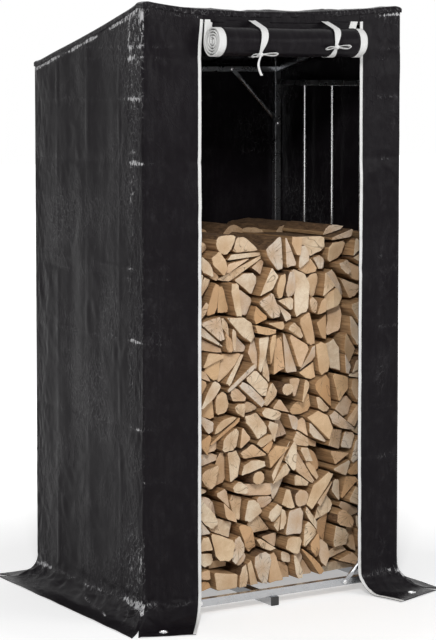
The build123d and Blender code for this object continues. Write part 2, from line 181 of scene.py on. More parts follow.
def into_scene(name, data):
    """Object for a mesh, a lamp or a camera, put in the scene."""
    made = bpy.data.objects.new(name, data)
    bpy.context.scene.collection.objects.link(made)
    return made


def new_piece(name, bm, finish, outside=None, smooth=True):
    """Turn a finished bmesh into a named piece with its finish."""
    if outside is not None:
        bm.normal_update()
        if sum(face.normal.dot(outside) * face.calc_area() for face in bm.faces) < 0:
            bmesh.ops.reverse_faces(bm, faces=bm.faces)
    mesh = bpy.data.meshes.new(name)
    bm.to_mesh(mesh)
    bm.free()
    for polygon in mesh.polygons:
        polygon.use_smooth = smooth
    piece = into_scene(name, mesh)
    mesh.materials.append(finish)
    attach(piece, "root")
    return piece


def thicken(piece, thickness, offset=0.0):
    """Give a sheet its thickness."""
    modifier = piece.modifiers.new("thickness", "SOLIDIFY")
    modifier.thickness = thickness
    modifier.offset = offset
    return piece


def map_grid(bm, across, along, place):
    """Grid whose corners are laid out by place, which also gives their spot on the flat cloth and its marks, which
    set its wear and where painted glints and painted sheen go.
    """
    worn = bm.verts.layers.float.get("worn") or bm.verts.layers.float.new("worn")
    flat = bm.loops.layers.uv.get("flat") or bm.loops.layers.uv.new("flat")
    made = bmesh.ops.create_grid(bm, x_segments=across, y_segments=along, size=0.5)["verts"]
    spots = {}
    for vert in made:
        point, spot, *marks = place(vert.co.x + 0.5, 0.5 - vert.co.y)
        spots[vert] = spot
        vert.co = point
        vert[worn] = marks[0] if marks else plain_wear_glint
    for vert in made:
        for loop in vert.link_loops:
            loop[flat].uv = spots[vert]
    return made


def new_sheet(name, columns, rows, place, finish, thickness, stands_for, outside=None):
    """A sheet laid out by place, with its thickness, in place of a plain one."""
    bm = bmesh.new()
    map_grid(bm, columns, rows, place)
    piece = thicken(new_piece(name, bm, finish, outside), thickness)
    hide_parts(stands_for)
    return piece


def crowd(share, amount=0.75):
    """Spread of columns that lie closer near both edges."""
    return share - amount * sin(2 * pi * share) / (2 * pi)


def skirt(way, top):
    """Outward place, height and outward slope at some length of sheet below the top."""
    radius = skirt_bend - cloth_middle
    straight = top - skirt_bend
    if way < straight:
        return 0.0, top - way, 1.0, 0.0
    turn = (way - straight) / radius
    if turn < pi / 2:
        return radius * (1 - cos(turn)), skirt_bend - radius * sin(turn), cos(turn), sin(turn)
    return radius + way - straight - radius * pi / 2, cloth_middle, 0.0, 1.0


def corner_spread(edge, slope):
    """Edge of a skirt beside a slit: on the mitre down to the slit's apex, then drawn back."""
    return lambda out: edge + min(out, slit_apex) + max(out - slit_apex, 0.0) * slope


class Wall:
    """One hanging panel: its face, its two side edges on the ground plan, its top and its skirt."""

    def __init__(self, along, outward, face, start, end, top, reach, rounds, seed, wear_glint_share=1.0):
        self.along = Vector(along)
        self.outward = Vector(outward)
        self.face = face
        self.start = start
        self.end = end
        self.top = top
        self.reach = reach
        self.rounds = rounds
        self.seed = seed
        self.wear_glint_share = wear_glint_share

    def wear_and_glint_marks(self, place, height, way, near, out):
        """How rubbed and creased the film is, which also sets where pale crease marks and lighter clouds go, partly
        painted glints and painted sheen: a strip beside the front edge, old folds, the seam and the bend.
        """
        strip = 1 - fade(near, 0.085, 0.108)
        marks = 0.44 * fade(swell(place * 5, height * 3.5, self.seed + 41), -0.1, 0.45)
        marks += 0.5 * strip * max(0.55 + 0.9 * swell(place * 18, height * 7, self.seed + 43), 0.0)
        for number, level in enumerate(box_folds):
            off = abs(height - level - 0.006 * swell(place * 6, number * 3.1, self.seed))
            if off < 0.04:
                strength = max(0.6 + 1.3 * swell(place * 13, number * 5.7, self.seed + 4), 0.0) * (level > 0.3)
                marks += (0.35 + 1.7 * strip) * strength * exp(-off / 0.004)
        seam = max(0.7 + swell(place * 14, 0.5, self.seed + 45), 0.15)
        marks += 2.2 * seam * hump(way - 0.025, 0.006)
        marks += 2.2 * exp(-near / 0.06) * exp(-way / 0.08)
        bend = hump(height - 0.06 + 0.014 * swell(place * 11, 0.5, 7.0), 0.009)
        second = hump(out - 0.088 + 0.17 * near + 0.01 * swell(place * 16, 0.5, 9.0), 0.006)
        bend += 0.9 * second * fade(near, 0.12, 0.16) * fade(near, 0.38, 0.33)
        rubbed = 0.5 + swell(place * 12, way * 50, self.seed + 46) + 0.5 * exp(-near / 0.05)
        marks += 1.5 * bend * max(rubbed, 0.1)
        marks += 2.0 * exp(-near / 0.045) * hump(height - 0.06, 0.022)
        return marks * self.wear_glint_share

    def point(self, share, drop, lift=0.0):
        """Place at a share of the width and of the way down, and its spot on the flat cloth."""
        across = self.end(0.0) - self.start(0.0)
        place = self.start(0.0) + across * share
        width = abs(across)
        top = self.top(place)
        straight = top - skirt_bend
        arc = (skirt_bend - cloth_middle) * pi / 2
        reach = self.reach[0] + (self.reach[1] - self.reach[0]) * share
        rest = reach - skirt_bend
        if drop < straight_rows:
            way = straight * drop / straight_rows
        elif drop < straight_rows + bend_rows:
            way = straight + arc * (drop - straight_rows) / bend_rows
        else:
            past_bend = drop - straight_rows - bend_rows
            way = straight + arc + rest * past_bend / (1 - straight_rows - bend_rows)
        out, height, slope_out, slope_up = skirt(way, top)
        place = self.start(out) + (self.end(out) - self.start(out)) * share
        if self.along.x > 0 and self.end(0.0) < 0:
            place += 0.009 * share * fade(height, 1.84, 1.95)
        near = share * width
        far = (1 - share) * width
        tuck = 0.0
        for gap, radius, sign in ((near, self.rounds[0], 1), (far, self.rounds[1], -1)):
            span = radius * pi / 4
            if radius and gap < span:
                ease = 1 - fade(out, 0.0, 0.05)
                turn = pi / 4 * (1 - gap / span)
                target = radius * (1 - sin(turn))
                place += sign * (target - gap) * ease * (1 if across > 0 else -1)
                tuck += radius * (1 - cos(turn)) * ease
        edge = min(near if self.rounds[0] else 1.0, far if self.rounds[1] else 1.0)
        grounded = fade(out, 0.02, 0.08)
        loose = fade(edge, 0.0, 0.012) * fade(way, 0.0, 0.03)
        proud = rumple(place, top - way, edge, self.seed) * (1 - 0.6 * grounded)
        buckle = hump(out - 0.022, 0.026) * fade(straight - way, 0.09, -0.02)
        crushed = crumple(place * 14, way * 21, self.seed + 31) - 0.4
        proud += 0.008 * buckle * crushed * (0.7 + 1.2 * exp(-edge / 0.07))
        proud += 0.003 * grounded * (0.5 + swell(place * 9, out * 7, self.seed + 17))
        pull = 0.004 * exp(-way / 0.16) * exp(-edge / 0.14) * sin(30 * (way * 0.8 - edge) + self.seed)
        if not self.rounds[1]:
            loose *= 1 - 0.95 * exp(-far / 0.03) * fade(height, 1.84, 1.93)
        proud = max((proud + pull) * loose, -0.0013 if out < 0.03 else 0.0) + lift
        base = self.outward * (self.face - cloth_middle + out - tuck + proud * slope_out)
        point = self.along * place + base + Vector((0, 0, height + proud * slope_up))
        return point, (place, way), self.wear_and_glint_marks(place, top - way, way, near, out)


def under_roof(x, y):
    """Height at which a wall ends under the roof."""
    return roof_height(x, y) - roof_clearance


flap_slope = (flap_reach - slit_gap - slit_apex) / (flap_reach - slit_apex)
back_slope = (back_reach - slit_gap - slit_apex) / (back_reach - slit_apex)
front_corner = corner_spread(cover_x, flap_slope)
back_corner = corner_spread(cover_x, back_slope)

walls = {
    "cover_wall_back": Wall(
        (1, 0, 0), (0, 1, 0), cover_back,
        lambda out: -back_corner(out), back_corner,
        lambda x: under_roof(x, cover_back), (back_reach, back_reach), (0.004, 0.004), 90.0, 0.8,
    )
}
for side, hand, seed in (("left", -1, 2.0), ("right", 1, 47.0)):
    walls[f"cover_wall_{side}"] = Wall(
        (0, 1, 0), (hand, 0, 0), cover_x,
        lambda out: -cover_front - out,
        lambda out: cover_back + out,
        lambda y, hand=hand: under_roof(hand * cover_x, y), (side_skirt, side_skirt), (0.008, 0.004), seed,
    )
# The front panels carry fewer marks than the walls: less wear, fewer painted glints and less painted sheen
for side, hand, door_edge, shift, reach, seed, wear_glint_share in (
    ("left", -1, door_left, -0.126, 0.181, 133.0, 0.3),
    ("right", 1, door_right, 0.052, 0.185, 176.0, 0.4),
):
    walls[f"cover_front_{side}"] = Wall(
        (1, 0, 0), (0, -1, 0), cover_front,
        lambda out, hand=hand: hand * front_corner(out),
        lambda out, line=(door_edge, shift, reach): line[0] + line[1] * out / line[2],
        lambda x: under_roof(x, -cover_front), (flap_reach, reach), (0.008, 0.0), seed, wear_glint_share,
    )


# Finishes


def feed(tree, node, **inputs):
    """Give a node its inputs, each a value or a socket to link."""
    for name, value in inputs.items():
        socket = node.inputs[int(name[1:])] if name[0] == "_" else node.inputs[name.replace("_", " ")]
        if isinstance(value, bpy.types.NodeSocket):
            tree.links.new(value, socket)
        else:
            socket.default_value = value
    return node


def put(tree, kind, settings=None, **inputs):
    """Shader node with its settings and its inputs."""
    made = tree.nodes.new("ShaderNode" + kind)
    for name, value in (settings or {}).items():
        setattr(made, name, value)
    return feed(tree, made, **inputs)


def sums(tree, kind, first, second=0.0):
    """Result of one sum."""
    return put(tree, "Math", {"operation": kind}, _0=first, _1=second).outputs[0]


def times(tree, first, second):
    """Product of two values."""
    return sums(tree, "MULTIPLY", first, second)


def plus(tree, first, second):
    """Total of two values."""
    return sums(tree, "ADD", first, second)


def spread(tree, value, low, high, to_low=0.0, to_high=1.0):
    """Value carried over from one range to another."""
    return put(tree, "MapRange", Value=value, From_Min=low, From_Max=high, To_Min=to_low, To_Max=to_high).outputs[0]


def tint(tree, share, first, second):
    """Two colours mixed."""
    return put(tree, "Mix", {"data_type": "RGBA"}, _0=share, _6=first, _7=second).outputs[2]


def grain(tree, vector, scale, detail=3.0, twist=0.0, rough=0.55):
    """Noise pattern."""
    made = put(tree, "TexNoise", Vector=vector, Scale=scale, Detail=detail, Roughness=rough, Distortion=twist)
    return made.outputs[0]


def stretched(tree, vector, scale):
    """Coordinates drawn out along some axes."""
    return put(tree, "Mapping", Vector=vector, Scale=scale).outputs[0]


def axes(tree, vector):
    """The three parts of a vector."""
    return put(tree, "SeparateXYZ", Vector=vector).outputs


def length_of(tree, vector):
    """Length of a vector."""
    return put(tree, "VectorMath", {"operation": "LENGTH"}, _0=vector).outputs["Value"]


def painted(tree, name, kind="Fac"):
    """What a mesh attribute holds."""
    return put(tree, "Attribute", {"attribute_name": name}).outputs[kind]


def flat_spot(tree):
    """Spot on the flat cloth."""
    return put(tree, "UVMap", {"uv_map": "flat"}).outputs[0]


def seen_straight(tree):
    """1 for what the camera sees, also in mirrors and through glass, and 0 for light on the object."""
    seen = put(tree, "LightPath").outputs
    beyond = sums(tree, "MAXIMUM", seen["Is Glossy Ray"], seen["Is Transmission Ray"])
    return sums(tree, "MAXIMUM", seen["Is Camera Ray"], beyond)


def new_group(name, entries, exits):
    """Empty shader group for a spot and some values, with what it is given and its exit."""
    tree = bpy.data.node_groups.new(name, "ShaderNodeTree")
    tree.interface.new_socket(name="Spot", in_out="INPUT", socket_type="NodeSocketVector")
    for way, labels in (("INPUT", entries), ("OUTPUT", exits)):
        for label in labels:
            tree.interface.new_socket(name=label, in_out=way, socket_type="NodeSocketFloat")
    return tree, tree.nodes.new("NodeGroupInput").outputs, tree.nodes.new("NodeGroupOutput")


def use_group(tree, group, **inputs):
    """The group placed in a material with its own values."""
    return put(tree, "Group", {"node_tree": group}, **inputs).outputs


def new_finish(name):
    """Material with its tree and its main shader."""
    material = bpy.data.materials.new(name)
    material.use_nodes = True
    return material, material.node_tree, material.node_tree.nodes["Principled BSDF"]


def bumped(tree, shader, height, strength, distance):
    """Bump from a height."""
    bump = put(tree, "Bump", Height=height, Strength=strength, Distance=distance)
    feed(tree, shader, Normal=bump.outputs[0])


def crinkle_group():
    """Crushed film: soft waves, sharp creases in patches, lighter clouds that are partly rubbed film and partly
    painted sheen, and pale crease marks that are partly stress whitening and partly painted glints.
    """
    tree, given, out = new_group("crinkle", ("Worn",), ("Height", "Cloud", "Crease"))
    spot, worn = given["Spot"], given["Worn"]
    cloudy = put(tree, "TexNoise", Vector=spot, Scale=21.0).outputs[1]
    shift = put(tree, "VectorMath", {"operation": "SCALE"}, _0=cloudy, Scale=0.03).outputs[0]
    moved = put(tree, "VectorMath", {"operation": "ADD"}, _0=spot, _1=shift).outputs[0]
    tall = (1.0, 0.6, 1.0)
    upright = stretched(tree, moved, tall)
    drawn = stretched(tree, spot, tall)
    lines = []
    for scale, width in ((22.0, 0.05), (58.0, 0.07), (120.0, 0.1)):
        cell = put(tree, "TexVoronoi", {"feature": "DISTANCE_TO_EDGE"}, Vector=upright, Scale=scale)
        lines.append(spread(tree, cell.outputs[0], 0.0, width, 1.0, 0.0))
    patches = spread(tree, grain(tree, spot, 6.0, 4.0), 0.47, 0.62)
    streak = grain(tree, stretched(tree, spot, (1.0, 0.14, 1.0)), 60.0, 3.0, 0.4)
    wave = grain(tree, drawn, 16.0, 2.0, 0.4)
    fine = grain(tree, stretched(tree, spot, (1.0, 0.36, 1.0)), 110.0, 5.0, 0.8, 0.74)
    mottle = spread(tree, grain(tree, drawn, 34.0, 6.0, 0.5, 0.7), 0.52, 0.68)
    rubbed = plus(tree, times(tree, patches, 0.5), worn)
    rubbed_share = sums(tree, "MINIMUM", rubbed, 1.0)
    sharp = plus(tree, lines[0], plus(tree, times(tree, lines[1], 0.6), times(tree, lines[2], 0.4)))
    sharp = times(tree, sharp, rubbed_share)
    height = plus(tree, times(tree, sharp, 0.5), times(tree, wave, 0.5))
    height = plus(tree, height, times(tree, times(tree, fine, rubbed), 0.35))
    # Lighter clouds where the film is marked: partly rubbed film, partly painted sheen
    cloud = times(tree, spread(tree, streak, 0.35, 0.7), rubbed_share)
    mottle = times(tree, mottle, spread(tree, worn, 0.0, 0.4, 0.15, 0.75))
    cloud = plus(tree, times(tree, cloud, 0.5), mottle)
    # Pale specks and ridges on the creases where the film is marked: partly stress whitening, partly painted glints
    level = sums(tree, "SUBTRACT", fine, spread(tree, worn, 0.0, 1.3, 0.78, 0.46))
    speck = times(tree, spread(tree, level, 0.0, 0.06), spread(tree, worn, 0.08, 0.7))
    ridge = times(tree, lines[1], spread(tree, fine, 0.45, 0.62))
    ridge = times(tree, ridge, spread(tree, worn, 0.2, 1.3, 0.0, 0.8))
    feed(tree, out, Height=height, Cloud=cloud, Crease=sums(tree, "MAXIMUM", speck, ridge))
    return tree


def weave_group():
    """Plain weave: crossing threads with a thread's pitch in metres."""
    tree, given, out = new_group("weave", ("Pitch",), ("Height",))
    parts = axes(tree, given["Spot"])
    turns = sums(tree, "DIVIDE", pi, given["Pitch"])
    waves = [sums(tree, "SINE", times(tree, parts[axis], turns)) for axis in (0, 1)]
    feed(tree, out, Height=times(tree, *waves))
    return tree


def dust_group():
    """Settled dust and rubbed patches."""
    tree, given, out = new_group("dust", ("Amount",), ("Mask",))
    cloud = grain(tree, given["Spot"], 9.0, 6.0, 0.3, 0.7)
    speck = spread(tree, grain(tree, given["Spot"], 260.0, 2.0), 0.6, 0.75)
    mask = plus(tree, spread(tree, cloud, 0.45, 0.8), times(tree, speck, 0.35))
    feed(tree, out, Mask=times(tree, mask, given["Amount"]))
    return tree


def spangle_group():
    """Zinc flowers: flat crystals of differing brightness."""
    tree, given, out = new_group("spangle", (), ("Shade", "Height"))
    cell = put(tree, "TexVoronoi", Vector=given["Spot"], Scale=170.0)
    shade = put(tree, "SeparateColor", Color=cell.outputs["Color"]).outputs[0]
    cloud = grain(tree, given["Spot"], 30.0, 4.0)
    mixed = plus(tree, times(tree, shade, 0.12), times(tree, cloud, 0.8))
    feed(tree, out, Shade=mixed, Height=grain(tree, given["Spot"], 420.0, 3.0))
    return tree


crinkle = crinkle_group()
weave = weave_group()
dust = dust_group()
spangle = spangle_group()


def cover_finish():
    """Black woven film, glossy, crinkled and a little dusty, with lighter clouds and pale crease marks that are
    partly painted sheen and painted glints.
    """
    material, tree, shader = new_finish("black_cover_film")
    flat = flat_spot(tree)
    film = use_group(tree, crinkle, Spot=flat, Worn=painted(tree, "worn"))
    threads = use_group(tree, weave, Spot=flat, Pitch=0.0024)
    dusty = use_group(tree, dust, Spot=flat, Amount=0.25)
    # Lighter clouds: partly rubbed film, partly painted sheen
    colour = tint(tree, film["Cloud"], (0.0094, 0.0078, 0.0096, 1), (0.032, 0.0295, 0.0325, 1))
    colour = tint(tree, dusty["Mask"], colour, (0.026, 0.025, 0.027, 1))
    # Pale crease marks: partly stress whitening, partly painted glints
    colour = tint(tree, film["Crease"], colour, (0.55, 0.545, 0.555, 1))
    dull = spread(tree, film["Cloud"], 0.0, 0.8, 0.19, 0.32)
    rough = plus(tree, dull, times(tree, film["Crease"], 0.2))
    feed(tree, shader, Base_Color=colour, Roughness=rough, IOR=1.12)
    height = plus(tree, film["Height"], times(tree, threads["Height"], 0.03))
    bumped(tree, shader, height, 0.8, 0.0022)
    return material


def tape_finish(name, light, dark, pitch):
    """White webbing: woven across, with two rows of stitches along its edges, and painted shade in the hollows of
    its weave.
    """
    material, tree, shader = new_finish(name)
    flat = flat_spot(tree)
    threads = use_group(tree, weave, Spot=flat, Pitch=pitch)
    dusty = use_group(tree, dust, Spot=flat, Amount=0.35)
    parts = axes(tree, flat)
    dash = spread(tree, sums(tree, "SINE", times(tree, parts[1], 2 * pi / 0.005)), -0.2, 0.3)
    row = sums(tree, "PINGPONG", parts[0], 0.0045)
    line = times(tree, spread(tree, row, 0.0, 0.0008, 1.0, 0.0), dash)
    # The weave's hollows get the darker colour: painted shade between the threads
    colour = tint(tree, spread(tree, threads["Height"], -1.0, 1.0), dark, light)
    colour = tint(tree, dusty["Mask"], colour, (0.42, 0.40, 0.37, 1))
    colour = tint(tree, times(tree, line, 0.35), colour, (0.45, 0.44, 0.43, 1))
    feed(tree, shader, Base_Color=colour, Roughness=spread(tree, threads["Height"], -1.0, 1.0, 0.75, 0.6))
    height = sums(tree, "SUBTRACT", times(tree, threads["Height"], 0.5), line)
    bumped(tree, shader, height, 0.5, 0.0004)
    return material


def steel_finish(name, dark, light, low, high):
    """Zinc-plated steel with fine drawing marks."""
    material, tree, shader = new_finish(name)
    spot = put(tree, "TexCoord").outputs["Object"]
    zinc = use_group(tree, spangle, Spot=spot)
    dusty = use_group(tree, dust, Spot=spot, Amount=0.05)
    colour = tint(tree, zinc["Shade"], dark, light)
    colour = tint(tree, dusty["Mask"], colour, (0.25, 0.24, 0.225, 1))
    bare = spread(tree, dusty["Mask"], 0.0, 0.5, 0.95, 0.6)
    rough = spread(tree, zinc["Shade"], 0.2, 0.8, low, high)
    feed(tree, shader, Base_Color=colour, Metallic=bare, Roughness=rough)
    bumped(tree, shader, zinc["Height"], 0.06, 0.0003)
    return material


def plug_finish():
    """Black moulded plastic with a fine grain."""
    material, tree, shader = new_finish("black_plug_plastic")
    spot = put(tree, "TexCoord").outputs["Object"]
    dusty = use_group(tree, dust, Spot=spot, Amount=0.5)
    fine = grain(tree, spot, 900.0, 2.0)
    colour = tint(tree, dusty["Mask"], (0.012, 0.012, 0.013, 1), (0.07, 0.068, 0.064, 1))
    feed(tree, shader, Base_Color=colour, Roughness=spread(tree, fine, 0.3, 0.7, 0.42, 0.58))
    bumped(tree, shader, fine, 0.3, 0.0003)
    return material


def wood_finish():
    """Split firewood: pale sawn ends with rings and checks, browner long sides, and bark."""
    material, tree, shader = new_finish("split_firewood")
    spot = painted(tree, "log_spot", "Vector")
    tone = painted(tree, "log_tone")
    ends = painted(tree, "cut_end")
    bark = painted(tree, "bark")
    parts = axes(tree, spot)
    end_spot = put(tree, "CombineXYZ", X=parts[0], Y=times(tree, parts[1], 0.05), Z=parts[2]).outputs[0]
    away = length_of(tree, put(tree, "CombineXYZ", X=parts[0], Z=parts[2]).outputs[0])
    wander = grain(tree, end_spot, 26.0, 3.0)
    ring_way = plus(tree, times(tree, away, 1500.0), times(tree, wander, 22.0))
    rings = spread(tree, sums(tree, "SINE", ring_way), -0.2, 1.0)
    around = sums(tree, "ARCTAN2", parts[2], parts[0])
    own = times(tree, tone, 37.0)
    ray_spot = put(tree, "CombineXYZ", X=around, Y=own, Z=times(tree, away, 6.0)).outputs[0]
    ray = sums(tree, "ABSOLUTE", sums(tree, "SUBTRACT", grain(tree, ray_spot, 1.7, 1.0), 0.5))
    cracked = spread(tree, sums(tree, "FRACT", times(tree, tone, 7.0)), 0.5, 0.6)
    checks = times(tree, spread(tree, ray, 0.0, 0.014, 1.0, 0.0), cracked)
    speck = spread(tree, grain(tree, end_spot, 240.0, 3.0, 0.2, 0.7), 0.52, 0.72)
    blotch = grain(tree, end_spot, 38.0, 5.0, 0.6, 0.65)
    saw = grain(tree, stretched(tree, spot, (1.0, 1.0, 0.12)), 420.0, 3.0)

    ramp = put(tree, "ValToRGB", Fac=tone)
    stops = (
        (0.0, (0.80, 0.60, 0.39)),
        (0.2, (0.88, 0.76, 0.59)),
        (0.36, (0.74, 0.48, 0.26)),
        (0.5, (0.72, 0.64, 0.55)),
        (0.66, (0.86, 0.72, 0.54)),
        (0.8, (0.63, 0.36, 0.17)),
        (0.9, (0.84, 0.62, 0.43)),
        (1.0, (0.70, 0.60, 0.50)),
    )
    while len(ramp.color_ramp.elements) < len(stops):
        ramp.color_ramp.elements.new(0.5)
    for stop, (at, colour) in zip(ramp.color_ramp.elements, stops):
        stop.position = at
        stop.color = (*colour, 1)
    heart = spread(tree, plus(tree, away, times(tree, wander, 0.03)), 0.02, 0.055, 0.55, 0.0)
    cut = tint(tree, heart, ramp.outputs[0], (0.55, 0.33, 0.17, 1))
    cut = tint(tree, times(tree, rings, 0.32), cut, (0.46, 0.27, 0.12, 1))
    cut = tint(tree, spread(tree, blotch, 0.4, 0.75, 0.0, 0.6), cut, (0.56, 0.36, 0.19, 1))
    cut = tint(tree, times(tree, speck, 0.3), cut, (0.42, 0.25, 0.12, 1))
    cut = tint(tree, times(tree, checks, 0.8), cut, (0.12, 0.065, 0.03, 1))
    streaks = grain(tree, stretched(tree, spot, (1.0, 0.05, 1.0)), 190.0, 5.0, 0.3, 0.65)
    side = tint(tree, spread(tree, streaks, 0.3, 0.72), (0.24, 0.125, 0.05, 1), (0.62, 0.40, 0.21, 1))
    rough_bark = grain(tree, stretched(tree, spot, (1.0, 0.25, 1.0)), 120.0, 6.0, 0.8, 0.7)
    skin = tint(tree, spread(tree, rough_bark, 0.35, 0.7), (0.07, 0.036, 0.017, 1), (0.31, 0.18, 0.09, 1))
    side = tint(tree, bark, side, skin)
    rough = spread(tree, streaks, 0.3, 0.7, 0.72, 0.9)
    feed(tree, shader, Base_Color=tint(tree, ends, side, cut), Roughness=rough)
    ring_height = sums(tree, "SUBTRACT", times(tree, rings, 0.3), checks)
    end_height = plus(tree, times(tree, saw, 0.5), ring_height)
    side_height = plus(tree, streaks, times(tree, times(tree, rough_bark, bark), 2.5))
    height = put(tree, "Mix", {"data_type": "FLOAT"}, _0=ends, _2=side_height, _3=end_height).outputs[0]
    bumped(tree, shader, height, 0.6, 0.0015)
    return material


black_film = cover_finish()
white_tape = tape_finish("white_edge_tape", (0.91, 0.91, 0.90, 1), (0.80, 0.80, 0.79, 1), 0.0011)
white_strap = tape_finish("white_tie_webbing", (0.91, 0.91, 0.90, 1), (0.77, 0.77, 0.77, 1), 0.0015)
zinc_steel = steel_finish("zinc_plated_steel", (0.42, 0.43, 0.445, 1), (0.55, 0.56, 0.575, 1), 0.24, 0.34)
# Bright plated finish of the bolts and eyelets, also put on the rack's rods as a painted highlight
bright_zinc_and_rod_highlight = steel_finish("bright_plated_fixings_and_painted_rod_highlight", (0.82, 0.82, 0.83, 1), (0.94, 0.94, 0.94, 1), 0.2, 0.34)
black_plug = plug_finish()
firewood = wood_finish()


# Cover walls, with the door's edge tapes
def cut_round(bm, middle, radius, fine):
    """Finer cells round a hole, and the hole itself."""
    def near(face, limit):
        centre = face.calc_center_median()
        return (Vector((centre.x, centre.y)) - middle).length < limit and centre.z < 0.03
    for _ in range(fine):
        close = [face for face in bm.faces if near(face, radius * 2.6)]
        edges = list({edge for face in close for edge in face.edges})
        bmesh.ops.subdivide_edges(bm, edges=edges, cuts=1, use_grid_fill=True)
    bmesh.ops.delete(bm, geom=[face for face in bm.faces if near(face, radius)], context="FACES")


for name, (columns, rows) in {
    "cover_wall_left": (110, 330),
    "cover_wall_right": (90, 200),
    "cover_wall_back": (100, 190),
    "cover_front_left": (40, 262),
    "cover_front_right": (36, 262),
}.items():
    wall = walls[name]
    bm = bmesh.new()
    map_grid(bm, columns, rows, lambda share, drop: wall.point(crowd(share), drop))
    if "front" in name:
        hand = -1 if "left" in name else 1
        cut_round(bm, Vector((hand * eyelet_x, eyelet_y)), eyelet_hole, 2)
    outside = wall.outward + Vector((0, 0, 0.1))
    piece = new_piece(name.replace("cover", "film"), bm, black_film, outside)
    thicken(piece, cloth)
    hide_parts(name)

for side in ("left", "right"):
    wall = walls[f"cover_front_{side}"]
    width = abs(wall.end(0.0) - wall.start(0.0))

    def tape_point(share, drop):
        """The tape lies on the panel's door edge, from the seam down to the flap's end."""
        seam = wall.top(wall.end(0.0))
        first = straight_rows * (seam - door_top) / (seam - skirt_bend)
        across = 1 - (tape_width * share - 0.0006) / width
        point = wall.point(across, first + (1 - first) * drop, tape_lift)[0]
        return point, (tape_width * share, drop * 2.1)

    new_sheet(
        f"edge_tape_{side}", 3, 300, tape_point, white_tape,
        tape_thickness, f"door_tape_{side}", Vector((0, -1, 0.1)),
    )


# Header over the doorway
def header_point(share, drop):
    """Place on the header for a share of its width and of its height."""
    x = door_left - 0.008 + (door_right - door_left + 0.016) * share
    top = under_roof(x, -cover_front)
    z = top + (door_top - 0.009 - top) * drop
    inner = fade(min(x - door_left, door_right - x), 0.0, 0.03)
    proud = max(0.6 * rumple(x, z, 1.0, 220.0) * inner * fade(drop, 0.0, 0.3), -0.001) - 0.0013 * (1 - inner)
    return Vector((x, -(cover_front - cloth_middle + proud), z)), (x, z), 0.1


header = new_sheet(
    "film_header", 110, 12, header_point, black_film, cloth, "cover_header", Vector((0, -1, 0))
)

# Roof, folded down over the walls along all four edges
fold_down = 0.016
fold_round = 0.008
fold_in = 0.0066


def over_edge(way, edge):
    """Place and drop of the sheet where it turns down over an edge."""
    past = abs(way) - (edge - fold_in)
    sign = 1 if way > 0 else -1
    if past <= 0:
        return way, 0.0
    turn = min(past / fold_round, pi / 2)
    drop = fold_round * (1 - cos(turn)) + max(past - fold_round * pi / 2, 0.0)
    return sign * (edge - fold_in + fold_round * sin(turn)), drop


def roof_point(share, back):
    """Place on the roof for a share across and back."""
    middle = (cover_back - cover_front) / 2
    half = (cover_back + cover_front) / 2
    across = (crowd(share, 0.6) - 0.5) * 2 * (cover_x + fold_down)
    depth = (crowd(back, 0.6) - 0.5) * 2 * (half + fold_down)
    x, drop_x = over_edge(across, cover_x)
    y, drop_y = over_edge(depth, half)
    y += middle
    inner = min(cover_x - abs(x), half - abs(y - middle))
    proud = 1.3 * rumple(x, y + 3.0, 1.0, 260.0)
    proud += 0.003 * swell(x * 5, y * 7, 301.0)
    proud = max(proud, -0.001) * fade(inner, -0.001, 0.03)
    proud *= 1 - fade(abs(x), 0.44, 0.475) * fade(abs(y), 0.32, 0.35)
    pucker = 0.0009 * swell(across * 60, depth * 60, 305.0) * fade(max(drop_x, drop_y), 0.002, 0.01)
    z = roof_height(min(max(x, -cover_x), cover_x), min(max(y, -cover_front), cover_back)) - max(drop_x, drop_y)
    z += proud
    if drop_x > 0:
        x += pucker * (1 if x > 0 else -1)
    if drop_y > 0:
        y += pucker * (1 if y > middle else -1)
    # Marks along the roof's folded edge: wear, and a painted glint line
    marks = 0.3 * fade(swell(across * 5, depth * 5, 307.0), -0.1, 0.4) + 0.5 * hump(inner - 0.004, 0.012)
    return Vector((x, y, z - cloth_middle)), (across, depth), marks


roof = new_sheet("film_roof", 120, 96, roof_point, black_film, cloth, "cover_roof", Vector((0, 0, 1)))


# Rolled door: a spiral from the seam behind it to its core
def roll_place(turn, x, lift=0.0, pitch=roll_pitch):
    """Point on the spiral after some turn, in radians, from the side that faces the header."""
    radius = roll_radius - 0.001 - pitch * turn / (2 * pi)
    outer = fade(turn, 4 * pi, 0.0)
    dent = 0.0
    for tie in ties:
        dent += 0.0035 * hump(x - tie["x"] + 0.012, 0.022)
    radius -= dent * (0.4 + 0.6 * outer) * (radius / roll_radius)
    radius += outer * 0.0022 * swell(x * 9, cos(turn) * 1.3, sin(turn) * 1.3 + 12.0)
    radius += outer * 0.0007 * (crumple(x * 26, turn * 1.6, 44.0) - 0.5)
    radius += lift
    sag = 0.002 * cos((x - 0.02) / 0.3 * pi / 2)
    return Vector((x, roll_y + radius * cos(turn), roll_z - sag - radius * sin(turn)))


roll_drop = door_top - roll_z
roll_total = roll_turns * 2 * pi
roll_length = roll_drop + roll_total * (roll_radius - roll_pitch * roll_turns / 2)


def roll_strip(first, last, ragged, lift, pitch, turns, lean=(0.004, 0.026)):
    """Place on the door between two cuts across its width, leaning over where it hangs from the seam."""
    def place(share, way):
        x = first + (last - first) * share
        if way < hanging_share:
            down = way / hanging_share
            x_seam = x + (lean[0] + (lean[1] - lean[0]) * share) * (1 - down)
            point = Vector((x_seam, roll_place(0.0, x, lift, pitch).y, door_top - roll_drop * down))
            return point, (share * (last - first), way * 2.0)
        turn = turns * 2 * pi * (way - hanging_share) / (1 - hanging_share)
        x += ragged * swell(turn * 0.35, 3.0, 8.0)
        return roll_place(turn, x, lift, pitch), (share * (last - first), way * roll_length)
    return place


